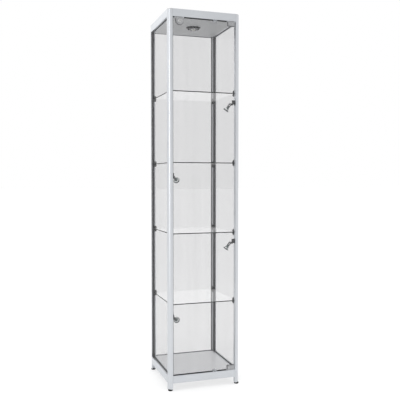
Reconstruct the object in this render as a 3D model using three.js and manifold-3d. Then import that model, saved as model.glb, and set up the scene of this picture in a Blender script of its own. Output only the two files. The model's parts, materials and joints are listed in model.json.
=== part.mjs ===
// A free-standing glass display tower: four quarter-round aluminium corner posts on levelling
// feet, hollow rails top and bottom, three fixed panes, a pivot-hung glass door with a cam lock,
// four glass shelves in corner clips, four small spotlights and a ceiling downlight.
// Millimetres, +Z up. The origin is on the floor under the centre of the tower, the door faces -Y.
import * as THREE from 'three';
import { mergeVertices } from 'three/addons/utils/BufferGeometryUtils.js';
import Module from 'manifold-3d';

const wasm = await Module();
wasm.setup();

// Driving dimensions
const WIDTH = 400;
const HEIGHT = 2000;
const POST = 25;
const RAIL_HEIGHT = 40;
const RAIL_WALL = 2;
const DECK_Z = 80;
const GLASS = 5;
const GLASS_INSET = 9.5;
const GROOVE_DEPTH = 8;
const GROOVE_SLACK = 0.8;
const CLEAR = 0.3;
const SHELF_PITCH = 375;
const SHELF_COUNT = 4;
const DOOR_INSET = 6;
const DOOR_GAP = 5;
const FOOT_HEIGHT = 8;

const HALF = WIDTH / 2;
const INNER = HALF - POST;
const CEILING_Z = HEIGHT - RAIL_HEIGHT;
const SIDES = [-1, 1];

const group = new THREE.Group();

const finishes = {
  aluminium: { color: 0xc9cacd, roughness: 0.38, metalness: 1 },
  board: { color: 0xc6c7c9, roughness: 0.6, metalness: 0 },
  glass: { color: 0xdce3e1, roughness: 0.05, metalness: 0, transparent: true, opacity: 0.35 },
  blackPlastic: { color: 0x1c1c1d, roughness: 0.5, metalness: 0 },
  hinge: { color: 0xb4b6b9, roughness: 0.3, metalness: 1 },
  chrome: { color: 0xe3e4e6, roughness: 0.12, metalness: 1 },
  lamp: { color: 0x6f7a77, roughness: 0.35, metalness: 0.6 },
  clearPlastic: { color: 0xe6e8e8, roughness: 0.3, metalness: 0 },
};

// One named piece; its own material, its place given by the geometry or by a position.
function addPiece(name, geometry, finish, position = [0, 0, 0]) {
  const mesh = new THREE.Mesh(geometry, new THREE.MeshStandardMaterial(finishes[finish]));
  mesh.name = name;
  mesh.position.set(...position);
  group.add(mesh);
}

// Solid modelling helpers
function toSolid(geometry) {
  const bare = geometry.clone();
  bare.deleteAttribute('normal');
  bare.deleteAttribute('uv');
  const merged = mergeVertices(bare, 1e-4);
  return new wasm.Manifold(new wasm.Mesh({
    numProp: 3,
    vertProperties: new Float32Array(merged.attributes.position.array),
    triVerts: new Uint32Array(merged.index.array),
  }));
}

function toGeometry(solid) {
  const mesh = solid.getMesh();
  const geometry = new THREE.BufferGeometry();
  geometry.setAttribute('position', new THREE.BufferAttribute(new Float32Array(mesh.vertProperties), 3));
  geometry.setIndex(new THREE.BufferAttribute(new Uint32Array(mesh.triVerts), 1));
  return geometry;
}

function union(...geometries) {
  return toGeometry(geometries.map(toSolid).reduce((a, b) => a.add(b)));
}

function cut(geometry, ...tools) {
  return toGeometry(tools.map(toSolid).reduce((a, b) => a.subtract(b), toSolid(geometry)));
}

// A box given by its lowest and highest corners.
function span(low, high) {
  const size = high.map((v, i) => v - low[i]);
  const box = new THREE.BoxGeometry(...size);
  return box.translate(...low.map((v, i) => v + size[i] / 2));
}

// A cylinder standing on z0, rising to z1.
function rod(x, y, z0, z1, radius, segments = 24) {
  const cylinder = new THREE.CylinderGeometry(radius, radius, z1 - z0, segments);
  return cylinder.rotateX(Math.PI / 2).translate(x, y, (z0 + z1) / 2);
}

// A cylinder lying along Y, from y0 to y1.
function barrel(x, z, y0, y1, radius, segments = 24) {
  const cylinder = new THREE.CylinderGeometry(radius, radius, y1 - y0, segments);
  return cylinder.translate(x, (y0 + y1) / 2, z);
}

// A body turned about +Z from [radius, height] points.
function turned(points, segments = 32) {
  const profile = points.map(([r, z]) => new THREE.Vector2(r, z));
  return new THREE.LatheGeometry(profile, segments).rotateX(Math.PI / 2);
}

function polygon(points) {
  return new THREE.Shape(points.map(([x, y]) => new THREE.Vector2(x, y)));
}

function extruded(shape, depth, curveSegments = 12) {
  return new THREE.ExtrudeGeometry(shape, { depth, bevelEnabled: false, curveSegments });
}

// Corner posts: quarter-round extrusion with its two flat faces towards the panels. A pane sits in
// a groove in each flat face, except the two that face the door. A core channel runs up from the
// foot end and stops under the closed top, and a bore at the foot end takes the levelling stud.
const LEG_END = FOOT_HEIGHT + CLEAR;
const FOOT_AT = HALF - 13;
const STUD_R = 4;
const STUD_LENGTH = 20;
const CORE_NEAR = 2;
const CORE_SIZE = 5.5;
const POST_TOP_WALL = 4;

function postProfile(grooveTowardsY, grooveTowardsX) {
  const near = GLASS_INSET - GROOVE_SLACK;
  const far = GLASS_INSET + GLASS + GROOVE_SLACK;
  const shape = new THREE.Shape();
  shape.moveTo(POST, POST);
  if (grooveTowardsX) {
    shape.lineTo(POST, far);
    shape.lineTo(POST - GROOVE_DEPTH, far);
    shape.lineTo(POST - GROOVE_DEPTH, near);
    shape.lineTo(POST, near);
  }
  shape.lineTo(POST, 0);
  shape.absarc(POST, POST, POST, -Math.PI / 2, -Math.PI, true);
  if (grooveTowardsY) {
    shape.lineTo(near, POST);
    shape.lineTo(near, POST - GROOVE_DEPTH);
    shape.lineTo(far, POST - GROOVE_DEPTH);
    shape.lineTo(far, POST);
  }
  return shape;
}

// sideX and sideY are the post's corner; the profile is drawn for the front-left corner.
function post(sideX, sideY) {
  const isFront = sideY < 0;
  const shape = postProfile(true, !isFront);
  const body = extruded(shape, HEIGHT - LEG_END, 10).translate(0, 0, LEG_END);
  const core = span(
    [POST - CORE_NEAR - CORE_SIZE, POST - CORE_NEAR - CORE_SIZE, 0],
    [POST - CORE_NEAR, POST - CORE_NEAR, HEIGHT - POST_TOP_WALL],
  );
  const bore = rod(HALF - FOOT_AT, HALF - FOOT_AT, 0, LEG_END + STUD_LENGTH + 2, STUD_R + CLEAR, 16);
  let solid = toSolid(cut(body, core, bore)).translate([-HALF, -HALF, 0]);
  if (sideX > 0) solid = solid.mirror([1, 0, 0]);
  if (sideY > 0) solid = solid.mirror([0, 1, 0]);
  return toGeometry(solid);
}

const corners = [
  [-1, -1, 'front_left'], [1, -1, 'front_right'], [-1, 1, 'back_left'], [1, 1, 'back_right'],
];

for (const [sx, sy, name] of corners) {
  addPiece(`post_${name}`, post(sx, sy), 'aluminium');
}

// Levelling feet: a rubbered disc with a rounded lower edge on a threaded stud.
const FOOT_R = 12.3;
const FOOT_ROUND = 2.5;

function foot() {
  const arc = [0, 30, 60, 90].map((a) => {
    const t = THREE.MathUtils.degToRad(a);
    return [FOOT_R - FOOT_ROUND + FOOT_ROUND * Math.sin(t), FOOT_ROUND - FOOT_ROUND * Math.cos(t)];
  });
  return turned([
    [0, 0], ...arc, [FOOT_R, FOOT_HEIGHT - 1], [FOOT_R - 1, FOOT_HEIGHT], [STUD_R, FOOT_HEIGHT],
    [STUD_R, FOOT_HEIGHT + STUD_LENGTH], [0, FOOT_HEIGHT + STUD_LENGTH],
  ], 24);
}

for (const [sx, sy, name] of corners) {
  addPiece(`foot_${name}`, foot(), 'blackPlastic', [sx * FOOT_AT, sy * FOOT_AT, 0]);
}

// Rails: hollow box extrusions butted between the posts. On the three fixed sides a groove faces
// the pane; the front ones are plain. The profile is drawn with x towards the inside and y up,
// and a top rail is the same profile with its groove side down.
function railProfile(grooved, isTop) {
  const near = GLASS_INSET - GROOVE_SLACK;
  const far = GLASS_INSET + GLASS + GROOVE_SLACK;
  const top = RAIL_HEIGHT;
  const notch = [[far, top], [far, top - GROOVE_DEPTH], [near, top - GROOVE_DEPTH], [near, top]];
  const hollowTop = top - RAIL_WALL - (grooved ? GROOVE_DEPTH : 0);
  const place = ([x, y]) => [x, isTop ? top - y : y];
  const outline = [[0, 0], [POST, 0], [POST, top], ...(grooved ? notch : []), [0, top]];
  const shape = polygon(outline.map(place));
  shape.holes.push(polygon([
    [RAIL_WALL, RAIL_WALL], [RAIL_WALL, hollowTop],
    [POST - RAIL_WALL, hollowTop], [POST - RAIL_WALL, RAIL_WALL],
  ].map(place)));
  return shape;
}

// The rail lies along X on the front side; angle turns it about the tower's centre line.
function rail(grooved, isTop, angle) {
  const length = 2 * (INNER - CLEAR);
  const body = extruded(railProfile(grooved, isTop), length);
  const alongX = new THREE.Matrix4().makeBasis(
    new THREE.Vector3(0, 1, 0), new THREE.Vector3(0, 0, 1), new THREE.Vector3(1, 0, 0),
  );
  body.applyMatrix4(alongX).translate(-length / 2, -HALF, isTop ? CEILING_Z : DECK_Z - RAIL_HEIGHT);
  return body.rotateZ(angle);
}

// Door pivots: the axis stands near the right edge of the door, in the middle of its glass.
const PIVOT_X = INNER - 11;
const DOOR_FRONT = -HALF + DOOR_INSET;
const DOOR_MID = DOOR_FRONT + GLASS / 2;
const PIVOT_Y = DOOR_MID;
const PIN_R = 2.5;
const BUSH_R = 4;
const BUSH_FLANGE_R = 5.5;
const BUSH_DEPTH = 7;

const bushHoleLow = rod(PIVOT_X, PIVOT_Y, DECK_Z - RAIL_WALL - 1, DECK_Z + 1, BUSH_R + CLEAR);
const bushHoleHigh = rod(PIVOT_X, PIVOT_Y, CEILING_Z - 1, CEILING_Z + RAIL_WALL + 1, BUSH_R + CLEAR);
const railSides = [['front', 0], ['right', Math.PI / 2], ['back', Math.PI], ['left', -Math.PI / 2]];
for (const [name, angle] of railSides) {
  const isFront = name === 'front';
  const low = rail(!isFront, false, angle);
  const high = rail(!isFront, true, angle);
  addPiece(`rail_bottom_${name}`, isFront ? cut(low, bushHoleLow) : low, 'aluminium');
  addPiece(`rail_top_${name}`, isFront ? cut(high, bushHoleHigh) : high, 'aluminium');
}

// Deck, ceiling and top cover: flat boards let in between the rails.
const DECK_THICK = 16;
const CEILING_THICK = 6;
const COVER_THICK = 3;
const COVER_RECESS = 0.5;
const CAN_R = 36;
const board = INNER - CLEAR;
addPiece('base_deck', span([-board, -board, DECK_Z - DECK_THICK], [board, board, DECK_Z]), 'board');
addPiece('ceiling_panel', cut(
  span([-board, -board, CEILING_Z], [board, board, CEILING_Z + CEILING_THICK]),
  rod(0, 0, CEILING_Z - 1, CEILING_Z + CEILING_THICK + 1, CAN_R + CLEAR, 40),
), 'board');
addPiece('top_cover', span(
  [-board, -board, HEIGHT - COVER_RECESS - COVER_THICK],
  [board, board, HEIGHT - COVER_RECESS],
), 'aluminium');

// Fixed panes in the grooves of the left, right and back sides.
const paneReach = INNER + GROOVE_DEPTH - 0.5;
const paneOut = HALF - GLASS_INSET;
const paneLow = DECK_Z - GROOVE_DEPTH + 0.5;
const paneHigh = CEILING_Z + GROOVE_DEPTH - 0.5;
const pane = span([-paneReach, -paneOut, paneLow], [paneReach, -paneOut + GLASS, paneHigh]);
for (const [name, angle] of railSides.slice(1)) {
  addPiece(`glass_${name}`, pane.clone().rotateZ(angle), 'glass');
}

// Cam lock on the door: a D-shaped housing clamped through a hole in the glass, and a turning
// core with a short cam behind the glass.
const LOCK_X = -137;
const LOCK_Z = CEILING_Z - 21;
const LOCK_HALF = 19;
const LOCK_BARREL_R = 9;
const LOCK_CORE_R = 5.2;
const LOCK_TOP = CEILING_Z - 2.5;
const LOCK_BACK = 8;

// The door pane, frameless, with the hole for the lock barrel.
const doorLeft = -INNER + 3;
const doorRight = INNER - 3.5;
const doorLow = DECK_Z + DOOR_GAP;
const doorHigh = CEILING_Z - DOOR_GAP;
const doorBack = DOOR_FRONT + GLASS;
addPiece('door_glass', cut(
  span([doorLeft, DOOR_FRONT, doorLow], [doorRight, doorBack, doorHigh]),
  barrel(LOCK_X, LOCK_Z, DOOR_FRONT - 1, doorBack + 1, LOCK_BARREL_R + 0.5, 28),
), 'glass');

// Pivot clamps: a U of two plates and a web over the end edge of the glass, with the pivot pin.
const CLAMP_LENGTH = 38;
const CLAMP_SETBACK = 2.5;
const CLAMP_HEIGHT = 24;
const CLAMP_WEB = 3.2;
const CLAMP_BACK = 4;

function pivotClamp(isTop) {
  const up = isTop ? -1 : 1;
  const edge = isTop ? doorHigh : doorLow;
  const outer = edge - up * (CLAMP_WEB + CLEAR);
  const inner = edge - up * CLEAR;
  const reach = outer + up * CLAMP_HEIGHT;
  const zRange = (a, b) => [Math.min(a, b), Math.max(a, b)];
  const [bodyLow, bodyHigh] = zRange(outer, reach);
  const [slotLow, slotHigh] = zRange(inner, reach + up);
  const right = doorRight - CLAMP_SETBACK;
  const body = span(
    [right - CLAMP_LENGTH, -HALF, bodyLow],
    [right, doorBack + CLEAR + CLAMP_BACK, bodyHigh],
  );
  const slot = span(
    [doorLeft, DOOR_FRONT - CLEAR, slotLow],
    [INNER, doorBack + CLEAR, slotHigh],
  );
  const railFace = isTop ? CEILING_Z : DECK_Z;
  const [pinLow, pinHigh] = zRange(outer + up, railFace - up * (BUSH_DEPTH - 2));
  return union(cut(body, slot), rod(PIVOT_X, PIVOT_Y, pinLow, pinHigh, PIN_R, 20));
}

addPiece('door_clamp_bottom', pivotClamp(false), 'hinge');
addPiece('door_clamp_top', pivotClamp(true), 'hinge');

// Flanged bushes pressed into the rails' walls round the pivot pins.
const FLANGE_THICK = 0.7;
const bush = turned([
  [PIN_R + CLEAR, -BUSH_DEPTH], [BUSH_R, -BUSH_DEPTH], [BUSH_R, CLEAR], [BUSH_FLANGE_R, CLEAR],
  [BUSH_FLANGE_R, CLEAR + FLANGE_THICK], [PIN_R + CLEAR, CLEAR + FLANGE_THICK],
  [PIN_R + CLEAR, -BUSH_DEPTH],
], 24);
addPiece('pivot_bush_bottom', bush, 'blackPlastic', [PIVOT_X, PIVOT_Y, DECK_Z]);
addPiece('pivot_bush_top', bush.clone().rotateX(Math.PI), 'blackPlastic', [PIVOT_X, PIVOT_Y, CEILING_Z]);

function lockHousing() {
  const outline = new THREE.Shape();
  outline.moveTo(LOCK_HALF, LOCK_TOP - LOCK_Z);
  outline.lineTo(-LOCK_HALF, LOCK_TOP - LOCK_Z);
  outline.lineTo(-LOCK_HALF, 0);
  outline.absarc(0, 0, LOCK_HALF, Math.PI, 2 * Math.PI, false);
  outline.lineTo(LOCK_HALF, LOCK_TOP - LOCK_Z);
  const plate = (y0, y1) => extruded(outline, y1 - y0, 12)
    .rotateX(Math.PI / 2).translate(LOCK_X, y1, LOCK_Z);
  const frontPlate = plate(-HALF, DOOR_FRONT - CLEAR);
  const backPlate = plate(doorBack + CLEAR, doorBack + CLEAR + LOCK_BACK);
  const tube = barrel(LOCK_X, LOCK_Z, -HALF + 1, doorBack + CLEAR + 1, LOCK_BARREL_R, 28);
  const bore = barrel(LOCK_X, LOCK_Z, -HALF - 1, doorBack + LOCK_BACK + 2, LOCK_CORE_R + CLEAR, 28);
  return cut(union(frontPlate, tube, backPlate), bore);
}

// The core's front has a key slot; the cam lies along -X at rest and turns up to the locked place.
const CAM_LENGTH = 16;
const CAM_WIDTH = 9;
const CAM_THICK = 2.5;
function lockCore() {
  const back = doorBack + LOCK_BACK + 2 * CLEAR;
  const core = barrel(0, 0, -HALF + 0.8, back + 0.5, LOCK_CORE_R, 24);
  const cam = union(
    span([-CAM_LENGTH + CAM_WIDTH / 2, back, -CAM_WIDTH / 2], [0, back + CAM_THICK, CAM_WIDTH / 2]),
    barrel(-CAM_LENGTH + CAM_WIDTH / 2, 0, back, back + CAM_THICK, CAM_WIDTH / 2, 20),
    barrel(0, 0, back, back + CAM_THICK, 7, 20),
  );
  const keyway = span([-0.9, -HALF, -3.6], [0.9, -HALF + 6, 3.6]);
  return cut(union(core, cam), keyway);
}

addPiece('lock_housing', lockHousing(), 'chrome');
addPiece('lock_core', lockCore(), 'hinge', [LOCK_X, 0, LOCK_Z]);

// A small bumper under the top rail stops the door where it closes.
const BUMPER_X = 60;
addPiece('door_bumper', span(
  [BUMPER_X - 11, doorBack + 0.6, CEILING_Z - 11],
  [BUMPER_X + 11, doorBack + 7, CEILING_Z - CLEAR],
), 'clearPlastic');

// Shelves: panes notched at the corners round the posts.
const SHELF_REACH = HALF - 17;
const NOTCH_X = INNER - 4;
const NOTCH_Y = INNER - 3;
const SHELF_FRONT = INNER + 7;
const firstShelf = DECK_Z + SHELF_PITCH;

function shelf() {
  const quarter = [
    [SHELF_REACH, NOTCH_Y], [NOTCH_X, NOTCH_Y], [NOTCH_X, SHELF_FRONT],
    [-NOTCH_X, SHELF_FRONT], [-NOTCH_X, NOTCH_Y], [-SHELF_REACH, NOTCH_Y],
  ];
  const outline = [...quarter, ...quarter.map(([x, y]) => [-x, -y])];
  return extruded(polygon(outline), GLASS).translate(0, 0, -GLASS / 2);
}

// Shelf clips: two gusset jaws on a web that stands on the post face looking along Y, gripping the
// corner of the shelf. Drawn in Y-Z for the back posts and turned round for the front ones.
const CLIP_REACH = 15;
const CLIP_TALL = 16;
const CLIP_TIP = 5.5;
const CLIP_INSIDE = NOTCH_X + CLEAR;
const CLIP_OUTSIDE = SHELF_REACH + 1.2;
function clip(sideX, sideY) {
  const grip = GLASS / 2 + CLEAR;
  const root = INNER - CLEAR;
  const webAt = NOTCH_Y + CLEAR;
  const tip = root - CLIP_REACH;
  const width = CLIP_OUTSIDE - CLIP_INSIDE;
  const half = [[root, CLIP_TALL], [root - 3, CLIP_TALL], [tip, CLIP_TIP], [tip, grip], [webAt, grip]];
  const mirrored = half.map(([y, z]) => [y, -z]).reverse();
  const body = extruded(polygon([...half, ...mirrored]), width);
  body.rotateX(Math.PI / 2).rotateZ(Math.PI / 2).translate(-width / 2, 0, 0);
  if (sideY < 0) body.rotateZ(Math.PI);
  return body.translate(sideX * (CLIP_INSIDE + CLIP_OUTSIDE) / 2, 0, 0);
}

for (let i = 0; i < SHELF_COUNT; i += 1) {
  const z = firstShelf + i * SHELF_PITCH;
  addPiece(`shelf_${i + 1}`, shelf(), 'glass', [0, 0, z]);
  for (const [sx, sy, name] of corners) {
    addPiece(`shelf_clip_${i + 1}_${name}`, clip(sx, sy), 'blackPlastic', [0, 0, z]);
  }
}

// Spotlights: a bracket block on the flat face of a front post, with two ears and a pin, and a
// trumpet-shaped head on a slotted oval arm. Drawn with +X as the aim, z = 0 at the block's middle;
// the ears and the head are then turned towards the back of the tower.
const SPOT_Y = -INNER - 2;
const SPOT_SIDE = 12;
const SPOT_TALL = 22;
const BLOCK_OUT = 11;
const EAR_ROOT = 6;
const EAR_GAP = 3.4;
const EAR_THICK = 2.4;
const EAR_R = 4.5;
const SPOT_PIN_OUT = 16;
const SPOT_PIN_Z = -11;
const SPOT_PIN_R = 2;

function spotBracket(yaw) {
  const block = span([CLEAR, -SPOT_SIDE / 2, -SPOT_TALL / 2], [BLOCK_OUT, SPOT_SIDE / 2, SPOT_TALL / 2]);
  const waist = span([-1, -SPOT_SIDE, -1.2], [4, SPOT_SIDE, 1.2]);
  const ear = new THREE.Shape();
  ear.moveTo(0, -EAR_R);
  ear.lineTo(SPOT_PIN_OUT, -EAR_R);
  ear.absarc(SPOT_PIN_OUT, 0, EAR_R, -Math.PI / 2, Math.PI / 2, false);
  ear.lineTo(0, EAR_R);
  const fork = SIDES.map((side) => extruded(ear, EAR_THICK, 6).rotateX(Math.PI / 2)
    .translate(0, side > 0 ? EAR_GAP + EAR_THICK : -EAR_GAP, 0));
  fork.push(barrel(SPOT_PIN_OUT, 0, -EAR_GAP - 1, EAR_GAP + 1, SPOT_PIN_R, 16));
  fork.forEach((piece) => piece.rotateZ(yaw).translate(EAR_ROOT, 0, SPOT_PIN_Z));
  return union(cut(block, waist), ...fork);
}

// The head, drawn round the pin: oval arm along +X, then the flared lamp with its lens set back a
// little in the mouth.
const ARM_LENGTH = 22;
const ARM_WIDTH = 14;
const ARM_THICK = 5.6;
const CONE_START = 16;
const CONE_END = 40;
const MOUTH_R = 16.5;
const NECK_R = 5;
const RIM_WALL = 1.2;
const LENS_SETBACK = 1.5;
const FLARE_STEPS = 6;
const FLARE_POWER = 1.35;

function spotHead() {
  const oval = new THREE.Shape();
  oval.absarc(0, 0, ARM_WIDTH / 2, Math.PI / 2, 1.5 * Math.PI, false);
  oval.absarc(ARM_LENGTH - ARM_WIDTH / 2, 0, ARM_WIDTH / 2, -Math.PI / 2, Math.PI / 2, false);
  const slot = new THREE.Path();
  slot.absarc(0, 0, SPOT_PIN_R + CLEAR, 1.5 * Math.PI, Math.PI / 2, true);
  slot.absarc(9, 0, SPOT_PIN_R + CLEAR, Math.PI / 2, -Math.PI / 2, true);
  oval.holes.push(slot);
  const arm = extruded(oval, ARM_THICK, 8).rotateX(Math.PI / 2).translate(0, ARM_THICK / 2, 0);
  const length = CONE_END - CONE_START;
  const outside = [];
  for (let i = 0; i <= FLARE_STEPS; i += 1) {
    const t = i / FLARE_STEPS;
    outside.push([NECK_R + (MOUTH_R - NECK_R) * t ** FLARE_POWER, t * length]);
  }
  const lensR = MOUTH_R - RIM_WALL;
  const lensAt = length - LENS_SETBACK;
  const cone = turned([[0, 0], ...outside, [lensR, length], [lensR, lensAt], [0, lensAt]], 24);
  return union(arm, cone.rotateY(Math.PI / 2).translate(CONE_START, 0, 0));
}

// Right-hand spots hang under shelves 4 and 2 counted from the floor and look down across the case;
// left-hand ones hang under shelves 3 and 1 and look more to the back. drop is the distance from
// the shelf down to the middle of the bracket.
const acrossCase = { drop: 48, turn: 20, tilt: 55 };
const towardsBack = { drop: 66, turn: 52, tilt: 25 };
const spots = [
  { name: 'spot_right_upper', side: 1, level: 4, aim: acrossCase },
  { name: 'spot_left_upper', side: -1, level: 3, aim: towardsBack },
  { name: 'spot_right_lower', side: 1, level: 2, aim: acrossCase },
  { name: 'spot_left_lower', side: -1, level: 1, aim: towardsBack },
];
for (const { name, side, level, aim } of spots) {
  const z = DECK_Z + level * SHELF_PITCH - aim.drop;
  const turn = THREE.MathUtils.degToRad(aim.turn);
  const pinX = INNER - EAR_ROOT - SPOT_PIN_OUT * Math.cos(turn);
  const pinY = SPOT_Y + SPOT_PIN_OUT * Math.sin(turn);
  const face = side > 0 ? Math.PI : 0;
  const yaw = -side * turn;
  const bracket = spotBracket(yaw).rotateZ(face);
  addPiece(`${name}_bracket`, bracket, 'blackPlastic', [side * INNER, SPOT_Y, z]);
  const head = spotHead().rotateY(THREE.MathUtils.degToRad(aim.tilt)).rotateZ(face + yaw);
  addPiece(`${name}_head`, head, 'lamp', [side * pinX, pinY, z + SPOT_PIN_Z]);
}

// Downlight: a flanged can let into the ceiling, and a gimbal lamp that tilts inside it.
const CAN_WALL = 1.2;
const CAN_TALL = 32;
const FLANGE_R = 41;
const FLANGE_DROP = 8.5;
const THROAT_R = 29.6;
const can = turned([
  [0, CAN_TALL - CAN_WALL], [CAN_R - CAN_WALL, CAN_TALL - CAN_WALL], [CAN_R - CAN_WALL, -3.5],
  [THROAT_R, -FLANGE_DROP], [THROAT_R + 2, -FLANGE_DROP], [FLANGE_R - 0.5, -1.5], [FLANGE_R, -CLEAR],
  [CAN_R, -CLEAR], [CAN_R, CAN_TALL], [0, CAN_TALL],
], 40);
addPiece('downlight_can', can, 'chrome', [0, 0, CEILING_Z]);

const LAMP_R = 28;
const LAMP_MOUTH_R = 21;
const LAMP_LENS_R = 17;
const LAMP_DROP = 12.5;
const LAMP_PIVOT_Z = CEILING_Z - 1;
const lamp = turned([
  [0, 3 - LAMP_DROP], [LAMP_LENS_R, 3 - LAMP_DROP], [LAMP_LENS_R + 1, -LAMP_DROP],
  [LAMP_MOUTH_R, -LAMP_DROP], [LAMP_R, -1], [LAMP_R, 2], [LAMP_R - 6, 11], [LAMP_R - 14, 20], [0, 20],
], 36);
const trunnions = SIDES.map((side) => {
  const stub = new THREE.CylinderGeometry(2, 2, 9.5, 14).rotateZ(Math.PI / 2);
  return stub.translate(side * (LAMP_R + 1.2), 0, 0);
});
addPiece('downlight_lamp', union(lamp, ...trunnions), 'chrome', [0, 0, LAMP_PIVOT_Z]);

export default group;
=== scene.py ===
# A glass display tower on four short legs: aluminium corner posts and rails, three fixed panes,
# a pivot-hung glass door, glass shelves in corner clips, small spotlights and a downlight.
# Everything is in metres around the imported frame, and the door faces -Y.
import json
import math

import bmesh
import bpy
from mathutils import Matrix, Vector


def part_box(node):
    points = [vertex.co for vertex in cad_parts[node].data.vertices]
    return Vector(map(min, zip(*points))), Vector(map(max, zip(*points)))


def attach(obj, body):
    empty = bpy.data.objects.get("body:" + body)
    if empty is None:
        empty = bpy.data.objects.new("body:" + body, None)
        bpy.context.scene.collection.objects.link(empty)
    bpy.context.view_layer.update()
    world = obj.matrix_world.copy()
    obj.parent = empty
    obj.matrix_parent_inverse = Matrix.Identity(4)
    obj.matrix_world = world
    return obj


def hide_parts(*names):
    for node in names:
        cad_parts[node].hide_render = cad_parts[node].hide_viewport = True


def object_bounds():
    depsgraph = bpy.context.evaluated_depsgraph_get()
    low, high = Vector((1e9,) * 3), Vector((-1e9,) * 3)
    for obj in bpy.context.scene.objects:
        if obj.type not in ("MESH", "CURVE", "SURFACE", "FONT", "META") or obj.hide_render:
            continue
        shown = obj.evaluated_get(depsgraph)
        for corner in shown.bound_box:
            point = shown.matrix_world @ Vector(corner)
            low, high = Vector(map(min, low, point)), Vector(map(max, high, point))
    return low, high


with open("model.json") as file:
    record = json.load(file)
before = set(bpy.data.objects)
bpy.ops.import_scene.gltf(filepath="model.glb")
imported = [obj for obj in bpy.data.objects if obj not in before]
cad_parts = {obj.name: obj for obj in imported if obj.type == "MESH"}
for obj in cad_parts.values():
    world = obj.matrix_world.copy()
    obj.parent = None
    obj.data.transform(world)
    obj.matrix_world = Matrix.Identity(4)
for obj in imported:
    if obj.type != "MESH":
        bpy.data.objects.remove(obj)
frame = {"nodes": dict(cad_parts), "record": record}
cad_low, cad_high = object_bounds()


# ---- Corner posts -------------------------------------------------------------------------------
# Quarter-round extrusions in satin anodised aluminium, one at each corner, with a glazing groove
# in each flat face that takes a pane. They stand on the feet and carry everything else.
MM = 0.001
CORNERS = {"front_left": (-1, -1), "front_right": (1, -1), "back_left": (-1, 1), "back_right": (1, 1)}
NOISE_LOW, NOISE_HIGH = 0.3, 0.7
SHARP = math.radians(32)


def new_finish(name, roughness=0.5, metallic=0.0):
    """A material with its node tree, principled shader and object coordinates at hand."""
    material = bpy.data.materials.new(name)
    material.use_nodes = True
    nodes = material.node_tree.nodes
    shader = nodes["Principled BSDF"]
    shader.inputs["Roughness"].default_value = roughness
    shader.inputs["Metallic"].default_value = metallic
    coords = nodes.new("ShaderNodeTexCoord").outputs["Object"]
    return material, material.node_tree, shader, coords


def noise(tree, coords, scale, detail=3.0, stretch=(1, 1, 1)):
    """Noise on object coordinates, stretched along the axes whose factor is small."""
    mapping = tree.nodes.new("ShaderNodeMapping")
    mapping.inputs["Scale"].default_value = stretch
    texture = tree.nodes.new("ShaderNodeTexNoise")
    texture.inputs["Scale"].default_value = scale
    texture.inputs["Detail"].default_value = detail
    tree.links.new(coords, mapping.inputs["Vector"])
    tree.links.new(mapping.outputs["Vector"], texture.inputs["Vector"])
    return texture.outputs["Fac"]


def tint(tree, value, dark, light, socket):
    """Colours a socket from dark to light as the noise goes from its lows to its highs."""
    ramp = tree.nodes.new("ShaderNodeValToRGB")
    ramp.color_ramp.elements[0].position = NOISE_LOW
    ramp.color_ramp.elements[1].position = NOISE_HIGH
    ramp.color_ramp.elements[0].color = (*dark, 1)
    ramp.color_ramp.elements[1].color = (*light, 1)
    tree.links.new(value, ramp.inputs["Fac"])
    tree.links.new(ramp.outputs["Color"], socket)


def spread(tree, value, low, high, socket):
    """Varies a number socket between low and high with the noise."""
    scaled = tree.nodes.new("ShaderNodeMapRange")
    scaled.inputs["From Min"].default_value = NOISE_LOW
    scaled.inputs["From Max"].default_value = NOISE_HIGH
    scaled.inputs["To Min"].default_value = low
    scaled.inputs["To Max"].default_value = high
    tree.links.new(value, scaled.inputs["Value"])
    tree.links.new(scaled.outputs["Result"], socket)


def relief(tree, value, shader, height, strength=0.5):
    """Small bumps of the given height in metres."""
    bump = tree.nodes.new("ShaderNodeBump")
    bump.inputs["Distance"].default_value = height
    bump.inputs["Strength"].default_value = strength
    tree.links.new(value, bump.inputs["Height"])
    tree.links.new(bump.outputs["Normal"], shader.inputs["Normal"])


ALONG = {"x": (0.02, 1, 1), "y": (1, 0.02, 1), "z": (1, 1, 0.02)}


def anodised(along):
    """Satin anodised aluminium with faint die lines along the extrusion and soft handling marks."""
    material, tree, shader, coords = new_finish(f"anodised_{along}", metallic=1.0)
    lines = noise(tree, coords, 900, detail=2, stretch=ALONG[along])
    marks = noise(tree, coords, 9, detail=5)
    tint(tree, lines, (0.575, 0.595, 0.62), (0.625, 0.645, 0.675), shader.inputs["Base Color"])
    spread(tree, marks, 0.30, 0.42, shader.inputs["Roughness"])
    relief(tree, lines, shader, 0.00002)
    return material


anodised_by_axis = {axis: anodised(axis) for axis in "xyz"}


def make_piece(name, bm, finishes, body, nodes=()):
    """Turns a bmesh into a finished piece that rides on a body and may stand for CAD nodes."""
    bmesh.ops.recalc_face_normals(bm, faces=bm.faces)
    mesh = bpy.data.meshes.new(name)
    bm.to_mesh(mesh)
    bm.free()
    for material in finishes:
        mesh.materials.append(material)
    mesh.shade_smooth()
    mesh.set_sharp_from_angle(angle=SHARP)
    piece = bpy.data.objects.new(name, mesh)
    bpy.context.scene.collection.objects.link(piece)
    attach(piece, body)
    if nodes:
        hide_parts(*nodes)
    return piece


def ease_edges(piece, width, segments=2):
    """Rounds the sharp edges of a piece and keeps its flat faces flat in the light."""
    bevel = piece.modifiers.new("eased edges", "BEVEL")
    bevel.width = width
    bevel.segments = segments
    bevel.limit_method = "ANGLE"
    bevel.angle_limit = SHARP
    bevel.miter_outer = "MITER_ARC"
    even = piece.modifiers.new("even shading", "WEIGHTED_NORMAL")
    even.keep_sharp = False
    return piece


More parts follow.
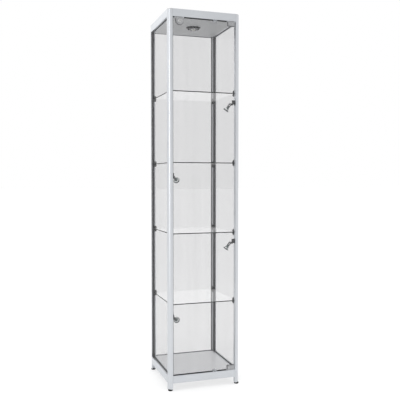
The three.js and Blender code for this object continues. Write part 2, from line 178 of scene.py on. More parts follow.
def prism(outline, start, end, place, bm=None):
    """A straight bar with the given outline; place turns (u, v, w) into a point."""
    bm = bm or bmesh.new()
    near, far = [[bm.verts.new(place(u, v, w)) for u, v in outline] for w in (start, end)]
    bm.faces.new(near)
    bm.faces.new(list(reversed(far)))
    for i in range(len(outline)):
        j = (i + 1) % len(outline)
        bm.faces.new((near[i], far[i], far[j], near[j]))
    return bm


def arc(cx, cy, radius, start, end, steps):
    """Points on an arc, from start to end in degrees."""
    turns = [math.radians(start + (end - start) * i / steps) for i in range(steps + 1)]
    return [(cx + radius * math.cos(t), cy + radius * math.sin(t)) for t in turns]


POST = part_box("post_front_left")[1].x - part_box("post_front_left")[0].x
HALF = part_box("post_front_right")[1].x
INNER = HALF - POST
GROOVE_NEAR, GROOVE_FAR, GROOVE_DEPTH = 8.7 * MM, 15.3 * MM, 8 * MM
ROUND_STEPS = 24
CAP_THICK = 2 * MM


def at_corner(side_x, side_y):
    """Places points that are measured inwards from the outer corner of a post."""
    return lambda u, v, w: (side_x * (HALF - u), side_y * (HALF - v), w)


def post_outline(is_front):
    """The front-left post's section, with its outer corner at (0, 0)."""
    points = [(POST, POST)]
    if not is_front:
        deep = POST - GROOVE_DEPTH
        points += [(POST, GROOVE_FAR), (deep, GROOVE_FAR), (deep, GROOVE_NEAR), (POST, GROOVE_NEAR)]
    points += arc(POST, POST, POST, -90, -180, ROUND_STEPS)
    deep = POST - GROOVE_DEPTH
    points += [(GROOVE_NEAR, POST), (GROOVE_NEAR, deep), (GROOVE_FAR, deep), (GROOVE_FAR, POST)]
    return points


for corner, (sx, sy) in CORNERS.items():
    node = f"post_{corner}"
    low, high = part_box(node)
    body = prism(post_outline(sy < 0), low.z, high.z - CAP_THICK, at_corner(sx, sy))
    ease_edges(make_piece(f"{node}_extrusion", body, [anodised_by_axis["z"]], "frame",
                          [node]), 0.35 * MM)


# ---- Post end caps ------------------------------------------------------------------------------
# Grey moulded caps that close the tops of the posts. They are pushed into the extrusions and
# follow their quarter-round outline.
def moulded(name, dark, light, roughness=0.5, grain=0.00004):
    """Injection-moulded plastic with a fine spark-eroded grain."""
    material, tree, shader, coords = new_finish(name, roughness)
    speck = noise(tree, coords, 1600, detail=2)
    cloud = noise(tree, coords, 40, detail=4)
    tint(tree, cloud, dark, light, shader.inputs["Base Color"])
    spread(tree, cloud, roughness - 0.06, roughness + 0.06, shader.inputs["Roughness"])
    relief(tree, speck, shader, grain)
    return material


cap_grey = moulded("cap_grey", (0.40, 0.405, 0.41), (0.45, 0.455, 0.46))
CAP_INSET = 0.2 * MM
CAP_GAP = 0.05 * MM
for corner, (sx, sy) in CORNERS.items():
    edge = POST - CAP_INSET
    quarter = [(edge, edge)] + arc(POST, POST, edge, -90, -180, ROUND_STEPS)
    top = cad_high.z
    cap = prism(quarter, top - CAP_THICK + CAP_GAP, top, at_corner(sx, sy))
    ease_edges(make_piece(f"post_cap_{corner}", cap, [cap_grey], "frame"),
               0.6 * MM, 3)


# ---- Rails --------------------------------------------------------------------------------------
# Box extrusions butted between the posts at the top and at deck height, in the same finish.
# Their shape is the frame's own, with the edges eased as the die leaves them.
SIDES = ("front", "right", "back", "left")
MERGE = 0.00001


def copy_of(node):
    """A bmesh of a CAD node with its loose triangles merged and its flat faces made whole."""
    bm = bmesh.new()
    bm.from_mesh(frame["nodes"][node].data)
    bmesh.ops.remove_doubles(bm, verts=bm.verts, dist=MERGE)
    bmesh.ops.dissolve_limit(bm, angle_limit=math.radians(1), verts=bm.verts, edges=bm.edges)
    return bm


for level in ("bottom", "top"):
    for side in SIDES:
        node = f"rail_{level}_{side}"
        finish = anodised_by_axis["x" if side in ("front", "back") else "y"]
        rail = make_piece(f"{node}_extrusion", copy_of(node), [finish], "frame", [node])
        ease_edges(rail, 0.4 * MM)


# ---- Levelling feet -----------------------------------------------------------------------------
# Black moulded pads with a rounded rim on zinc-plated studs. The studs are threaded, and are screwed
# up into the posts to level the tower.
def turned(name, profile, place, finish, body, steps=48, nodes=()):
    """A turned piece: its profile of (radius, height) points runs from top to bottom."""
    mesh = bpy.data.meshes.new(name)
    steps_down = [(i, i + 1) for i in range(len(profile) - 1)]
    mesh.from_pydata([(r, 0, z) for r, z in profile], steps_down, [])
    piece = bpy.data.objects.new(name, mesh)
    bpy.context.scene.collection.objects.link(piece)
    screw = piece.modifiers.new("turned", "SCREW")
    screw.steps = screw.render_steps = steps
    screw.use_merge_vertices = True
    screw.merge_threshold = MERGE
    screw.use_smooth_shade = True
    graph = bpy.context.evaluated_depsgraph_get()
    finished = bpy.data.meshes.new_from_object(piece.evaluated_get(graph))
    piece.modifiers.clear()
    bm = bmesh.new()
    bm.from_mesh(finished)
    bpy.data.objects.remove(piece)
    bpy.data.meshes.remove(finished)
    bpy.data.meshes.remove(mesh)
    bmesh.ops.remove_doubles(bm, verts=bm.verts, dist=MERGE)
    bm.transform(place)
    return make_piece(name, bm, [finish], body, nodes)


def shift(x, y, z):
    """A move by the given distances."""
    return Matrix.Translation((x, y, z))


pad_black = moulded("foot_pad_black", (0.004, 0.004, 0.004), (0.009, 0.009, 0.009), 0.8, 0.00008)


def plated(name, dark, light, rough_low, rough_high):
    """Plated or polished metal with faint, cloudy wear."""
    material, tree, shader, coords = new_finish(name, metallic=1.0)
    fine = noise(tree, coords, 700, detail=3)
    wear = noise(tree, coords, 60, detail=4)
    tint(tree, wear, dark, light, shader.inputs["Base Color"])
    spread(tree, wear, rough_low, rough_high, shader.inputs["Roughness"])
    relief(tree, fine, shader, 0.00001)
    return material


zinc = plated("zinc_plate", (0.50, 0.50, 0.49), (0.62, 0.62, 0.60), 0.28, 0.42)
PAD_TALL = 8 * MM
RIM_ROUND = 2.5 * MM
STUD_R = 3.9 * MM
THREAD_PITCH = 1.25 * MM
THREAD_DEEP = 0.6 * MM
for corner, (sx, sy) in CORNERS.items():
    node = f"foot_{corner}"
    low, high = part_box(node)
    centre = (low + high) / 2
    radius = (high.x - low.x) / 2
    rim = [(0, PAD_TALL), (5 * MM, PAD_TALL), (radius - 1.5 * MM, PAD_TALL - 0.3 * MM)]
    rim += [(radius - 0.4 * MM, PAD_TALL - 1.1 * MM), (radius, PAD_TALL - 2 * MM), (radius, 2.6 * MM)]
    rim += [(radius - RIM_ROUND + x, RIM_ROUND + y) for x, y in arc(0, 0, RIM_ROUND, 0, -90, 6)]
    rim += [(0, 0)]
    turned(f"{node}_pad", rim, shift(centre.x, centre.y, 0), pad_black, node, 64, [node])
    thread = [(0, high.z), (STUD_R - 0.8 * MM, high.z)]
    level = high.z - 0.8 * MM
    while level > PAD_TALL + THREAD_PITCH:
        thread += [(STUD_R, level), (STUD_R - THREAD_DEEP, level - THREAD_PITCH / 2)]
        level -= THREAD_PITCH
    thread += [(STUD_R, level), (STUD_R, PAD_TALL - 1 * MM), (0, PAD_TALL - 1 * MM)]
    turned(f"{node}_stud", thread, shift(centre.x, centre.y, 0), zinc, node, 24)


# ---- Deck, ceiling and top cover ----------------------------------------------------------------
# Grey laminated boards let in flush between the rails, a light one as the deck and a darker one as
# the ceiling, and an aluminium sheet that closes the top.
def laminate(name, dark, light, roughness):
    """Melamine-faced board: an even colour with a very fine pearl texture."""
    material, tree, shader, coords = new_finish(name, roughness)
    pearl = noise(tree, coords, 450, detail=3)
    cloud = noise(tree, coords, 5, detail=3)
    tint(tree, cloud, dark, light, shader.inputs["Base Color"])
    spread(tree, pearl, roughness - 0.05, roughness + 0.05, shader.inputs["Roughness"])
    relief(tree, pearl, shader, 0.00003)
    return material


deck_grey = laminate("deck_laminate", (0.68, 0.685, 0.695), (0.72, 0.725, 0.735), 0.34)
ceiling_grey = laminate("ceiling_laminate", (0.37, 0.375, 0.38), (0.40, 0.405, 0.41), 0.45)
ease_edges(make_piece("deck_board", copy_of("base_deck"), [deck_grey], "frame",
                      ["base_deck"]), 0.5 * MM)
ease_edges(make_piece("ceiling_board", copy_of("ceiling_panel"), [ceiling_grey], "frame",
                      ["ceiling_panel"]), 0.4 * MM)
ease_edges(make_piece("top_sheet", copy_of("top_cover"), [anodised_by_axis["x"]], "frame",
                      ["top_cover"]), 0.4 * MM)


# ---- Fixed panes --------------------------------------------------------------------------------
# Clear 5 mm float glass on three sides, pushed into the grooves of the posts and rails. The cut
# edges look dark because light travels the length of the pane before it leaves.
def clear_glass(name, clear, haze_tone, haze_range, gloss_range, painted_streak_stretch, painted_glow=0.0):
    """Thin glass: mostly see-through, with a little haze, gloss at flat angles and an optional
    painted glow. Haze stretched into streaks paints reflections.
    """
    material = bpy.data.materials.new(name)
    material.use_nodes = True
    tree = material.node_tree
    tree.nodes.remove(tree.nodes["Principled BSDF"])
    coords = tree.nodes.new("ShaderNodeTexCoord").outputs["Object"]
    through = tree.nodes.new("ShaderNodeBsdfTransparent")
    through.inputs["Color"].default_value = (*clear, 1)
    haze = tree.nodes.new("ShaderNodeBsdfPrincipled")
    haze.inputs["Roughness"].default_value = 0.6
    # The haze may glow of itself: a painted glow, though the glass is no lamp.
    haze.inputs["Emission Color"].default_value = (1, 1, 1, 1)
    haze.inputs["Emission Strength"].default_value = painted_glow
    lighter = tuple(min(1, 1.05 * c) for c in haze_tone)
    tint(tree, noise(tree, coords, 6), haze_tone, lighter, haze.inputs["Base Color"])
    hazy = tree.nodes.new("ShaderNodeMixShader")
    # Stretched noise lays the haze in streaks, which are painted reflections.
    spread(tree, noise(tree, coords, 22, detail=3, stretch=painted_streak_stretch), *haze_range, hazy.inputs[0])
    tree.links.new(through.outputs[0], hazy.inputs[1])
    tree.links.new(haze.outputs[0], hazy.inputs[2])
    gloss = tree.nodes.new("ShaderNodeBsdfGlossy")
    spread(tree, noise(tree, coords, 5, detail=5), 0.01, 0.05, gloss.inputs["Roughness"])
    facing = tree.nodes.new("ShaderNodeLayerWeight")
    facing.inputs["Blend"].default_value = 0.5
    curve = tree.nodes.new("ShaderNodeMath")
    curve.operation = "POWER"
    curve.inputs[1].default_value = 5
    tree.links.new(facing.outputs["Facing"], curve.inputs[0])
    amount = tree.nodes.new("ShaderNodeMapRange")
    amount.inputs["To Min"].default_value = gloss_range[0]
    amount.inputs["To Max"].default_value = gloss_range[1]
    tree.links.new(curve.outputs[0], amount.inputs["Value"])
    glossy = tree.nodes.new("ShaderNodeMixShader")
    tree.links.new(amount.outputs["Result"], glossy.inputs[0])
    tree.links.new(hazy.outputs[0], glossy.inputs[1])
    tree.links.new(gloss.outputs[0], glossy.inputs[2])
    tree.links.new(glossy.outputs[0], tree.nodes["Material Output"].inputs["Surface"])
    return material


def cut_glass_edge(name, dark, light):
    """The polished edge of a pane: deep grey with a breath of green outside, clear from inside."""
    material, tree, shader, coords = new_finish(name, 0.2)
    shader.inputs["Specular IOR Level"].default_value = 0.01
    inside = tree.nodes.new("ShaderNodeBsdfTransparent")
    seen = tree.nodes.new("ShaderNodeMixShader")
    tree.links.new(tree.nodes.new("ShaderNodeNewGeometry").outputs["Backfacing"], seen.inputs[0])
    tree.links.new(shader.outputs[0], seen.inputs[1])
    tree.links.new(inside.outputs[0], seen.inputs[2])
    tree.links.new(seen.outputs[0], tree.nodes["Material Output"].inputs["Surface"])
    ground = noise(tree, coords, 600, detail=3)
    depth = noise(tree, coords, 12, detail=3)
    tint(tree, depth, dark, light, shader.inputs["Base Color"])
    spread(tree, ground, 0.14, 0.28, shader.inputs["Roughness"])
    relief(tree, ground, shader, 0.00002)
    return material


pane_edge = cut_glass_edge("pane_edge", (0.16, 0.18, 0.175), (0.22, 0.24, 0.235))
# The pane haze runs in faint upright streaks: painted reflections.
pane_glass = clear_glass("pane_glass", clear=(0.93, 0.93, 0.932), haze_tone=(0.5, 0.5, 0.51),
                         haze_range=(0.012, 0.035), gloss_range=(0.012, 0.2), painted_streak_stretch=(1, 1, 0.05))


def glazed(node, body, axis, finishes):
    """A pane or shelf: every face that doesn't look along axis is an edge face."""
    bm = copy_of(node)
    for face in bm.faces:
        face.normal_update()
        face.material_index = 0 if abs(face.normal[axis]) > 0.9 else 1
    piece = make_piece(f"{node}_pane", bm, finishes, body, [node])
    ease_edges(piece, 0.5 * MM, 1).modifiers[0].material = 1
    return piece


glazed("glass_left", "frame", 0, [pane_glass, pane_edge])
glazed("glass_right", "frame", 0, [pane_glass, pane_edge])
glazed("glass_back", "frame", 1, [pane_glass, pane_edge])


# ---- Glazing seals ------------------------------------------------------------------------------
# Dark grey rubber strips that line both sides of each fixed pane, pressed on along the posts and
# rails, with a small lip against the glass. Their dark grey is partly painted shade, standing in for
# the shade on the posts' inner faces. Those on the rails and inside the left pane are narrower.
seal_rubber = moulded("seal_rubber", (0.15, 0.15, 0.153), (0.19, 0.19, 0.193), 0.6, 0.00005)
PANE_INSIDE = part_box("glass_right")[0].x
PANE_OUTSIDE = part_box("glass_right")[1].x
RAIL_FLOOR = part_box("rail_bottom_right")[1].z
RAIL_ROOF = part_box("rail_top_right")[0].z
SEAL_LIP = 1.5 * MM
SEAL_BACK = 0.02 * MM
INNER_STRIP, NARROW_INNER_STRIP, OUTER_STRIP = 8 * MM, 5.5 * MM, 6 * MM
INNER_RAIL_STRIP, OUTER_RAIL_STRIP = 4 * MM, 2.5 * MM


def seal_section(width):
    """A flat strip with a lip at its glass side, measured from the glass and from the metal."""
    return [(0.1 * MM, SEAL_BACK), (width, SEAL_BACK), (width, 0.24 * MM), (1.05 * MM, 0.28 * MM),
            (0.9 * MM, 1.2 * MM), (0.5 * MM, SEAL_LIP), (0.1 * MM, SEAL_LIP)]


for pane, wide, turn in (
    ("glass_right", INNER_STRIP, lambda x, y, z: (x, y, z)),
    ("glass_left", NARROW_INNER_STRIP, lambda x, y, z: (-x, y, z)),
    ("glass_back", INNER_STRIP, lambda x, y, z: (y, x, z)),
):
    strips = bmesh.new()
    inside = (PANE_INSIDE, -1, wide, INNER_RAIL_STRIP)
    outside = (PANE_OUTSIDE, 1, OUTER_STRIP, OUTER_RAIL_STRIP)
    for face_at, away, on_posts, on_rails in (inside, outside):
        for post_side in (-1, 1):
            prism(seal_section(on_posts), RAIL_FLOOR, RAIL_ROOF,
                  lambda u, v, w: turn(face_at + away * u, post_side * (INNER - v), w), strips)
        for rail_at, up in ((RAIL_FLOOR, 1), (RAIL_ROOF, -1)):
            prism(seal_section(on_rails), -INNER + SEAL_LIP, INNER - SEAL_LIP,
                  lambda u, v, w: turn(face_at + away * u, w, rail_at + up * v), strips)
    make_piece(f"{pane}_seal", strips, [seal_rubber], "frame")


# ---- Door ---------------------------------------------------------------------------------------
# A frameless toughened pane hung on two satin metal corner clamps. Each clamp is a pair of plates
# drawn together through the glass by two socket screws, on dark grey rubber sheets.
glazed("door_glass", "door", 1, [pane_glass, pane_edge])

clamp_metal = plated("clamp_satin", (0.34, 0.345, 0.355), (0.40, 0.405, 0.415), 0.32, 0.44)
screw_steel = plated("screw_steel", (0.42, 0.42, 0.43), (0.52, 0.52, 0.53), 0.22, 0.34)
glass_low, glass_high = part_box("door_glass")
CLAMP_TALL = 24 * MM
RUBBER_THICK = 0.28 * MM
RUBBER_MARGIN = 3 * MM
SCREW_R = 3.4 * MM
TOWARDS_DOOR = Matrix.Rotation(math.radians(90), 4, "X")


def screw_head(name, x, y, z):
    """A low socket screw head in the door that looks along -Y."""
    socket = 0.45 * SCREW_R
    profile = [(0, -0.9 * MM), (socket, -0.9 * MM), (socket, 0.35 * MM), (0.8 * SCREW_R, 0.4 * MM)]
    profile += [(SCREW_R, 0.1 * MM), (SCREW_R, -0.4 * MM), (0.9 * SCREW_R, -1.4 * MM), (0, -1.4 * MM)]
    turned(name, profile, shift(x, y, z) @ TOWARDS_DOOR, screw_steel, "door", 20)


def rubber_sheet(name, outline):
    """A thin rubber sheet on the front of the door glass, with the outline in X and Z."""
    front, back = glass_low.y - RUBBER_THICK, glass_low.y - SEAL_BACK
    bm = prism(outline, front, back, lambda u, v, w: (u, w, v))
    make_piece(name, bm, [seal_rubber], "door")


for level in ("bottom", "top"):
    node = f"door_clamp_{level}"
    low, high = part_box(node)
    base = low.z if level == "top" else high.z - CLAMP_TALL
    top = base + CLAMP_TALL
    ease_edges(make_piece(f"{node}_plates", copy_of(node), [clamp_metal], "door", [node]),
               0.7 * MM, 3)
    left, right = low.x - RUBBER_MARGIN, glass_high.x - 0.5 * MM
    down, up = max(base - RUBBER_MARGIN, glass_low.z), min(top + RUBBER_MARGIN, glass_high.z)
    rubber_sheet(f"{node}_rubber", [(left, down), (right, down), (right, up), (left, up)])
    for i, x in enumerate((low.x + 8 * MM, high.x - 15 * MM)):
        screw_head(f"{node}_screw_{i + 1}", x, low.y, base + CLAMP_TALL / 2)
    bush = f"pivot_bush_{level}"
    ease_edges(make_piece(f"{bush}_nylon", copy_of(bush), [cap_grey], "frame",
                          [bush]), 0.25 * MM)


# ---- Lock ---------------------------------------------------------------------------------------
# A chromed cam lock through the top left of the door: a D-shaped plate on a rubber sheet, a raised
# ring round the cylinder, and a keyed core that carries the cam behind the glass.
lock_chrome = plated("lock_chrome", (0.33, 0.335, 0.345), (0.47, 0.475, 0.485), 0.16, 0.3)
core_steel = plated("core_steel", (0.50, 0.50, 0.50), (0.66, 0.66, 0.66), 0.14, 0.26)
ease_edges(make_piece("lock_plate", copy_of("lock_housing"), [lock_chrome], "door",
                      ["lock_housing"]), 0.8 * MM, 3)
ease_edges(make_piece("lock_cylinder", copy_of("lock_core"), [core_steel], "lock_core",
                      ["lock_core"]), 0.2 * MM)
plate_low, plate_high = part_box("lock_housing")
lock_x = (plate_low.x + plate_high.x) / 2
plate_r = (plate_high.x - plate_low.x) / 2
lock_z = plate_low.z + plate_r
LOCK_MARGIN = 2.5 * MM
d_shape = arc(lock_x, lock_z, plate_r + LOCK_MARGIN, 180, 360, 24)
d_shape += [(plate_high.x + LOCK_MARGIN, glass_high.z), (plate_low.x - LOCK_MARGIN, glass_high.z)]
rubber_sheet("lock_rubber", d_shape)
RING_BORE, RING_R = 5.5 * MM, 8 * MM
ring = [(RING_BORE, 0.9 * MM), (7.2 * MM, 0.9 * MM), (RING_R, 0.2 * MM), (RING_R, -0.5 * MM)]
ring += [(RING_BORE, -0.5 * MM), (RING_BORE, 0.9 * MM)]
turned("lock_ring", ring, shift(lock_x, plate_low.y, lock_z) @ TOWARDS_DOOR, core_steel, "door",
       40)


# ---- Door stops and brush seals -----------------------------------------------------------------
# A clear soft stop behind the door at the top and bottom, and a black pile strip stuck to each
# front rail that closes the gap over and under the door.
def soft_clear(name):
    """Cloudy see-through plastic."""
    return clear_glass(name, clear=(0.86, 0.87, 0.88), haze_tone=(0.75, 0.76, 0.78),
                       haze_range=(0.25, 0.42), gloss_range=(0.03, 0.3), painted_streak_stretch=(1, 1, 1))


stop_plastic = soft_clear("stop_plastic")
ease_edges(make_piece("door_stop_top", copy_of("door_bumper"), [stop_plastic], "frame",
                      ["door_bumper"]), 1.2 * MM, 3)
stop_low, stop_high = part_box("door_bumper")
stop_tall = stop_high.z - stop_low.z
stop = prism([(stop_low.x, stop_low.y), (stop_high.x, stop_low.y), (stop_high.x, stop_high.y),
              (stop_low.x, stop_high.y)], RAIL_FLOOR + 0.3 * MM, RAIL_FLOOR + stop_tall,
             lambda u, v, w: (u, v, w))
ease_edges(make_piece("door_stop_bottom", stop, [stop_plastic], "frame"),
           1.2 * MM, 3)


def pile():
    """Dense black fibres standing up from a woven backing."""
    material, tree, shader, coords = new_finish("pile", 0.9)
    fibres = noise(tree, coords, 2600, detail=2, stretch=(1, 1, 0.08))
    tint(tree, fibres, (0.008, 0.008, 0.009), (0.05, 0.05, 0.052), shader.inputs["Base Color"])
    spread(tree, fibres, 0.8, 1.0, shader.inputs["Roughness"])
    relief(tree, fibres, shader, 0.0003, 0.8)
    return material


pile_black = pile()
BACKING_HALF, PILE_HALF, PILE_TALL = 2.4 * MM, 1.0 * MM, 4.4 * MM
CLEAR_OF_LOCK, CLEAR_OF_STOP, CLEAR_OF_CLAMP = 6 * MM, 1 * MM, 4 * MM
door_mid = (glass_low.y + glass_high.y) / 2
gaps = ((-INNER + 0.6 * MM, plate_low.x - CLEAR_OF_LOCK),
        (plate_high.x + CLEAR_OF_LOCK, stop_low.x - CLEAR_OF_STOP),
        (stop_high.x + CLEAR_OF_STOP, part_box("door_clamp_top")[0].x - CLEAR_OF_CLAMP))
for level, rail_at, up in (("bottom", RAIL_FLOOR, 1), ("top", RAIL_ROOF, -1)):
    runs = gaps if level == "top" else ((gaps[0][0], gaps[1][1]), gaps[2])
    outline = [(-BACKING_HALF, 0.1 * MM), (BACKING_HALF, 0.1 * MM), (BACKING_HALF, 0.9 * MM)]
    outline += [(1.3 * MM, 1.0 * MM), (PILE_HALF, PILE_TALL), (-PILE_HALF, PILE_TALL)]
    outline += [(-1.3 * MM, 1.0 * MM), (-BACKING_HALF, 0.9 * MM)]
    brush = bmesh.new()
    for start, end in runs:
        prism(outline, start, end, lambda u, v, w: (w, door_mid + u, rail_at + up * v), brush)
    make_piece(f"brush_seal_{level}", brush, [pile_black], "frame")


# ---- Shelves and clips --------------------------------------------------------------------------
# Four glass shelves with ground edges, notched round the posts. Each corner sits between the jaws
# of a black moulded clip on the post, and a grub screw in the lower jaw pinches the glass.
# The shelf haze is milky white and glows faintly of itself, painted light that brightens the shelves.
shelf_glass = clear_glass("shelf_glass", clear=(1.0, 1.0, 1.0), haze_tone=(0.93, 0.935, 0.94),
                          haze_range=(0.06, 0.09), gloss_range=(0.01, 0.1), painted_streak_stretch=(1, 1, 1),
                          painted_glow=0.9)
shelf_edge = cut_glass_edge("shelf_edge", (0.015, 0.018, 0.017), (0.035, 0.04, 0.038))
clip_black = moulded("clip_black", (0.02, 0.02, 0.021), (0.034, 0.034, 0.035), 0.42)
grub_steel = plated("grub_steel", (0.18, 0.18, 0.18), (0.28, 0.28, 0.28), 0.3, 0.45)
GRUB_DROP = 12 * MM
for number in range(1, 5):
    shelf = f"shelf_{number}"
    glazed(shelf, shelf, 2, [shelf_glass, shelf_edge])
    for corner in CORNERS:
        node = f"shelf_clip_{number}_{corner}"
        low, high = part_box(node)
        middle = (low + high) / 2
        ease_edges(make_piece(f"{node}_jaws", copy_of(node), [clip_black], shelf,
                              [node]), 0.8 * MM, 3)
        grub = [(0, 1.5 * MM), (0.9 * MM, 1.5 * MM), (0.9 * MM, -0.2 * MM), (1.8 * MM, -0.2 * MM)]
        grub += [(2.1 * MM, 0.2 * MM), (2.1 * MM, 6 * MM), (0, 6 * MM)]
        turned(f"{node}_grub", grub, shift(middle.x, middle.y, middle.z - GRUB_DROP), grub_steel,
               shelf, 16)


# ---- Spotlights ---------------------------------------------------------------------------------
# Small low-voltage spots: a black moulded bracket with a fork, a slotted black arm on a chromed pin,
# and a flared smoky grey-green shade with a bright reflector and a clear lens.
bracket_black = moulded("bracket_black", (0.028, 0.028, 0.03), (0.05, 0.05, 0.052), 0.4)
arm_black = moulded("arm_black", (0.03, 0.03, 0.032), (0.06, 0.06, 0.063), 0.35)
pin_chrome = plated("pin_chrome", (0.7, 0.7, 0.71), (0.8, 0.8, 0.81), 0.1, 0.2)
reflector = plated("reflector", (0.72, 0.72, 0.72), (0.85, 0.85, 0.85), 0.08, 0.18)
rim_dark = moulded("rim_dark", (0.05, 0.055, 0.056), (0.08, 0.085, 0.086), 0.3)
lens_clear = soft_clear("lens_clear")


def smoky_enamel():
    """Satin grey-green enamel with slight orange peel and darker patches."""
    material, tree, shader, coords = new_finish("smoky_enamel", 0.25)
    patches = noise(tree, coords, 55, detail=4)
    peel = noise(tree, coords, 420, detail=2)
    tint(tree, patches, (0.085, 0.11, 0.105), (0.14, 0.17, 0.165), shader.inputs["Base Color"])
    spread(tree, patches, 0.32, 0.46, shader.inputs["Roughness"])
    shader.inputs["Coat Weight"].default_value = 0.15
    relief(tree, peel, shader, 0.00002)
    return material


def led_yellow():
    """The phosphor patch of an unlit lamp."""
    material, tree, shader, coords = new_finish("led_phosphor", 0.5)
    grain = noise(tree, coords, 900, detail=3)
    tint(tree, grain, (0.75, 0.62, 0.16), (0.85, 0.74, 0.28), shader.inputs["Base Color"])
    relief(tree, grain, shader, 0.00004)
    return material


shade_enamel = smoky_enamel()
phosphor = led_yellow()
ALONG_AIM = Matrix.Rotation(math.radians(90), 4, "Y")
ARM_R, ARM_LONG, ARM_HALF = 7 * MM, 15 * MM, 2.8 * MM
SLOT_R, SLOT_LONG = 2.3 * MM, 9 * MM
NECK_AT, MOUTH_AT, NECK_R, MOUTH_R = 16 * MM, 40 * MM, 5 * MM, 16.5 * MM
FLARE_STEPS, FLARE_POWER = 14, 1.35
PIN_HEAD_AT = 5.9 * MM
SPOT_TURN = {"right": (20, 55), "left": (52, 25)}


def oval(radius, length, steps=12):
    """The outline of a slot, from the pin's centre along the aim."""
    return arc(0, 0, radius, 90, 270, steps) + arc(length, 0, radius, -90, 90, steps)


joint_at = {joint["name"]: joint["pos_m"] for joint in frame["record"]["behaviour"]["joints"]
            if "pos_m" in joint}
for spot in ("right_upper", "left_upper", "right_lower", "left_lower"):
    body = f"spot_{spot}"
    side = 1 if spot.startswith("right") else -1
    yaw, pitch = (math.radians(turn) for turn in SPOT_TURN[spot.split("_")[0]])
    facing = (math.pi if side > 0 else 0) - side * yaw
    swing = shift(*joint_at[f"{body}_tilt"]) @ Matrix.Rotation(facing, 4, "Z")
    aim = swing @ Matrix.Rotation(pitch, 4, "Y")
    ease_edges(make_piece(f"{body}_bracket_body", copy_of(f"{body}_bracket"), [bracket_black],
                          "frame", [f"{body}_bracket"]), 0.5 * MM)
    for end in (-1, 1):
        cap = [(0, 0.9 * MM), (1.6 * MM, 0.9 * MM), (2.4 * MM, 0.3 * MM), (2.4 * MM, -0.3 * MM),
               (0, -0.3 * MM)]
        flat = Matrix.Rotation(math.radians(-90 * end), 4, "X")
        place = swing @ shift(0, end * PIN_HEAD_AT, 0) @ flat
        turned(f"{body}_pin_{'near' if end < 0 else 'far'}", cap, place, pin_chrome, "frame",
               20)
    outer, inner = oval(ARM_R, ARM_LONG), oval(SLOT_R, SLOT_LONG)
    arm = bmesh.new()
    loops = [[arm.verts.new((u, v, w)) for u, w in loop] for loop in (outer, inner)
             for v in (-ARM_HALF, ARM_HALF)]
    outer_near, outer_far, inner_near, inner_far = loops
    for first, second in ((outer_near, outer_far), (inner_near, inner_far),
                          (outer_near, inner_near), (outer_far, inner_far)):
        for i in range(len(first)):
            j = (i + 1) % len(first)
            arm.faces.new((first[i], first[j], second[j], second[i]))
    arm.transform(aim)
    ease_edges(make_piece(f"{body}_arm", arm, [arm_black], body), 0.5 * MM)
    flare = [(NECK_R + (MOUTH_R - NECK_R) * (i / FLARE_STEPS) ** FLARE_POWER,
              NECK_AT + (MOUTH_AT - NECK_AT) * i / FLARE_STEPS) for i in range(FLARE_STEPS)]
    shade = [(0, NECK_AT - 1.2 * MM), (NECK_R - 1.2 * MM, NECK_AT - 1.2 * MM)] + flare
    shade += [(MOUTH_R - 0.9 * MM, MOUTH_AT - 1.6 * MM), (MOUTH_R - 2.2 * MM, MOUTH_AT - 1.6 * MM),
              (NECK_R, NECK_AT + 8 * MM), (0, NECK_AT + 8 * MM)]
    along = aim @ ALONG_AIM
    turned(f"{body}_shade", shade, along, shade_enamel, body, 48, [f"{body}_head"])
    rim = [(MOUTH_R - 0.7 * MM, MOUTH_AT - 1.9 * MM), (MOUTH_R + 0.2 * MM, MOUTH_AT - 1.5 * MM)]
    rim += [(MOUTH_R + 0.3 * MM, MOUTH_AT - 0.5 * MM), (MOUTH_R - 0.3 * MM, MOUTH_AT)]
    rim += [(MOUTH_R - 1.6 * MM, MOUTH_AT - 0.2 * MM), (MOUTH_R - 1.9 * MM, MOUTH_AT - 1.4 * MM)]
    rim += [rim[0]]
    turned(f"{body}_rim", rim, along, rim_dark, body, 48)
    bowl = [(MOUTH_R - 2.3 * MM, MOUTH_AT - 1.9 * MM), (MOUTH_R - 5 * MM, MOUTH_AT - 8 * MM)]
    bowl += [(MOUTH_R - 9 * MM, MOUTH_AT - 13 * MM), (0, MOUTH_AT - 13.6 * MM)]
    bowl += [(0, MOUTH_AT - 14.4 * MM), (MOUTH_R - 9 * MM, MOUTH_AT - 14.2 * MM)]
    bowl += [(MOUTH_R - 4.4 * MM, MOUTH_AT - 8 * MM)]
    bowl += [(MOUTH_R - 2 * MM, MOUTH_AT - 2.1 * MM), bowl[0]]
    turned(f"{body}_reflector", bowl, along, reflector, body, 40)
    chip = [(0, MOUTH_AT - 11.4 * MM), (1.8 * MM, MOUTH_AT - 11.8 * MM)]
    chip += [(2.6 * MM, MOUTH_AT - 13 * MM), (2.6 * MM, MOUTH_AT - 13.9 * MM)]
    chip += [(0, MOUTH_AT - 13.9 * MM)]
    turned(f"{body}_led", chip, along, phosphor, body, 20)
    lens = [(0, MOUTH_AT - 0.5 * MM), (8 * MM, MOUTH_AT - 0.8 * MM)]
    lens += [(MOUTH_R - 2.1 * MM, MOUTH_AT - 1.4 * MM), (MOUTH_R - 2.1 * MM, MOUTH_AT - 1.8 * MM)]
    lens += [(0, MOUTH_AT - 1.8 * MM)]
    turned(f"{body}_lens", lens, along, lens_clear, body, 40)


